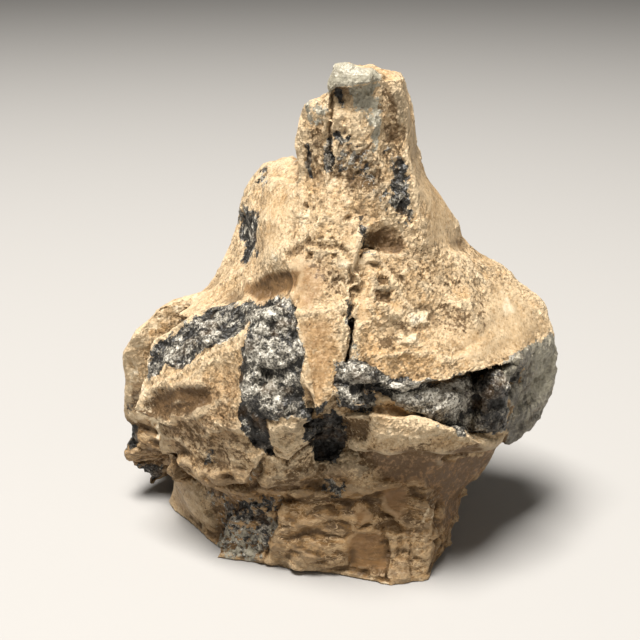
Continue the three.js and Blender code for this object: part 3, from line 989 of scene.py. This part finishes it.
    # Bone over crust, with the edges broken up; smooth breaks and brown stone are the sleeker ones
    boneEdge = broken(mask["bone"], 0.44, 0.56)
    greyEdge = broken(mask["grey"], 0.42, 0.58)
    colour = mixColour(tree, boneEdge, crust, bone)
    colour = mixColour(tree, greyEdge, colour, grey)
    anyBone = numbers(tree, "MAXIMUM", boneEdge, greyEdge)
    sleek = numbers(tree, "MAXIMUM", mask["smooth"], share(mask["brown"], 0.6))
    sleek = share(sleek, numbers(tree, "SUBTRACT", 1.0, boneEdge))

    # Roughness: crust 0.85, bone 0.45, less on sleek stone, and a little different on every grain
    dull = addNode(tree, "ShaderNodeMapRange", {"Value": anyBone, "To Min": 0.85, "To Max": 0.45}).outputs[0]
    dull = numbers(tree, "SUBTRACT", dull, share(sleek, 0.3))
    dull = numbers(tree, "ADD", dull, share(numbers(tree, "SUBTRACT", mask["grain"], 0.5), 0.2))
    dull = numbers(tree, "MAXIMUM", dull, 0.42)

    # Fine bump: two sizes of grains and the same noise as the spots, calm on sleek stone
    height = numbers(tree, "ADD", grains(tree, place, 0.9, 0.7), grains(tree, place, 0.45, 0.9))
    height = numbers(tree, "ADD", height, share(fine, 0.3 * mm))
    height = numbers(tree, "ADD", height, share(speck, 0.15 * mm))
    calm = addNode(tree, "ShaderNodeMapRange", {"Value": sleek, "To Min": 1.0, "To Max": 0.15}).outputs[0]
    bump = addNode(tree, "ShaderNodeBump", {"Height": height, "Strength": calm, "Distance": 1.0})
    shader = addNode(tree, "ShaderNodeBsdfPrincipled", {
        "Base Color": colour, "Roughness": dull, "Normal": bump.outputs[0],
    })
    output = addNode(tree, "ShaderNodeOutputMaterial")
    tree.links.new(shader.outputs[0], output.inputs[0])
    return material


# The stage: a plain pale floor, one big soft lamp above and a weak fill
stage = {
    "floor": 3.0,  # m along a side
    "floorColour": (0.42, 0.41, 0.395, 1),
    "floorRoughness": 0.9,
    "world": (0.88, 0.84, 0.78, 1),
    "worldStrength": 0.11,
    "aim": (0, 0, 0.05),  # m, where both lamps point
    "key": {"at": (-0.19, -0.20, 1.20), "size": 0.5, "power": 33.5, "colour": (1.0, 0.97, 0.93)},  # m, W
    "fill": {"at": (0.5, -0.6, 0.4), "size": 0.6, "power": 0.6, "colour": (1.0, 0.97, 0.92)},
}


def addLamp(name, lamp):
    light = bpy.data.lights.new(name, "AREA")
    light.size = lamp["size"]
    light.energy = lamp["power"]
    light.color = lamp["colour"]
    made = bpy.data.objects.new(name, light)
    made.location = lamp["at"]
    toward = np.array(stage["aim"]) - np.array(lamp["at"])
    pitch = math.atan2(math.hypot(toward[0], toward[1]), -toward[2])
    made.rotation_euler = (pitch, 0, math.atan2(-toward[0], toward[1]))
    bpy.context.scene.collection.objects.link(made)


def makeStage():
    half = stage["floor"] / 2
    mesh = bpy.data.meshes.new("floor")
    corners = [(-half, -half, 0), (half, -half, 0), (half, half, 0), (-half, half, 0)]
    mesh.from_pydata(corners, [], [(0, 1, 2, 3)])
    floor = bpy.data.objects.new("floor", mesh)
    bpy.context.scene.collection.objects.link(floor)
    material = bpy.data.materials.new("pale_floor")
    material.use_nodes = True
    shader = material.node_tree.nodes["Principled BSDF"]
    shader.inputs["Base Color"].default_value = stage["floorColour"]
    shader.inputs["Roughness"].default_value = stage["floorRoughness"]
    mesh.materials.append(material)
    world = bpy.data.worlds.new("studio")
    world.use_nodes = True
    world.node_tree.nodes["Background"].inputs["Color"].default_value = stage["world"]
    world.node_tree.nodes["Background"].inputs["Strength"].default_value = stage["worldStrength"]
    bpy.context.scene.world = world
    addLamp("key", stage["key"])
    addLamp("fill", stage["fill"])
    bpy.context.scene.view_settings.view_transform = "Standard"


def makeCamera():
    data = bpy.data.cameras.new("photo_camera")
    data.sensor_width = view["sensor"]
    data.lens = view["sensor"] * view["focal"] / view["frame"]
    data.clip_start = 0.01  # m
    camera = bpy.data.objects.new("photo_camera", data)
    camera.location = eye * mm
    camera.rotation_euler = (math.pi / 2 - tilt, 0, 0)
    bpy.context.scene.collection.objects.link(camera)
    bpy.context.scene.camera = camera


makeCamera()
makeStage()
block = makeBlock()
block.data.materials.append(fossilFinish())
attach(block, "root")
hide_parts("fossil_bone")
print("finish set")
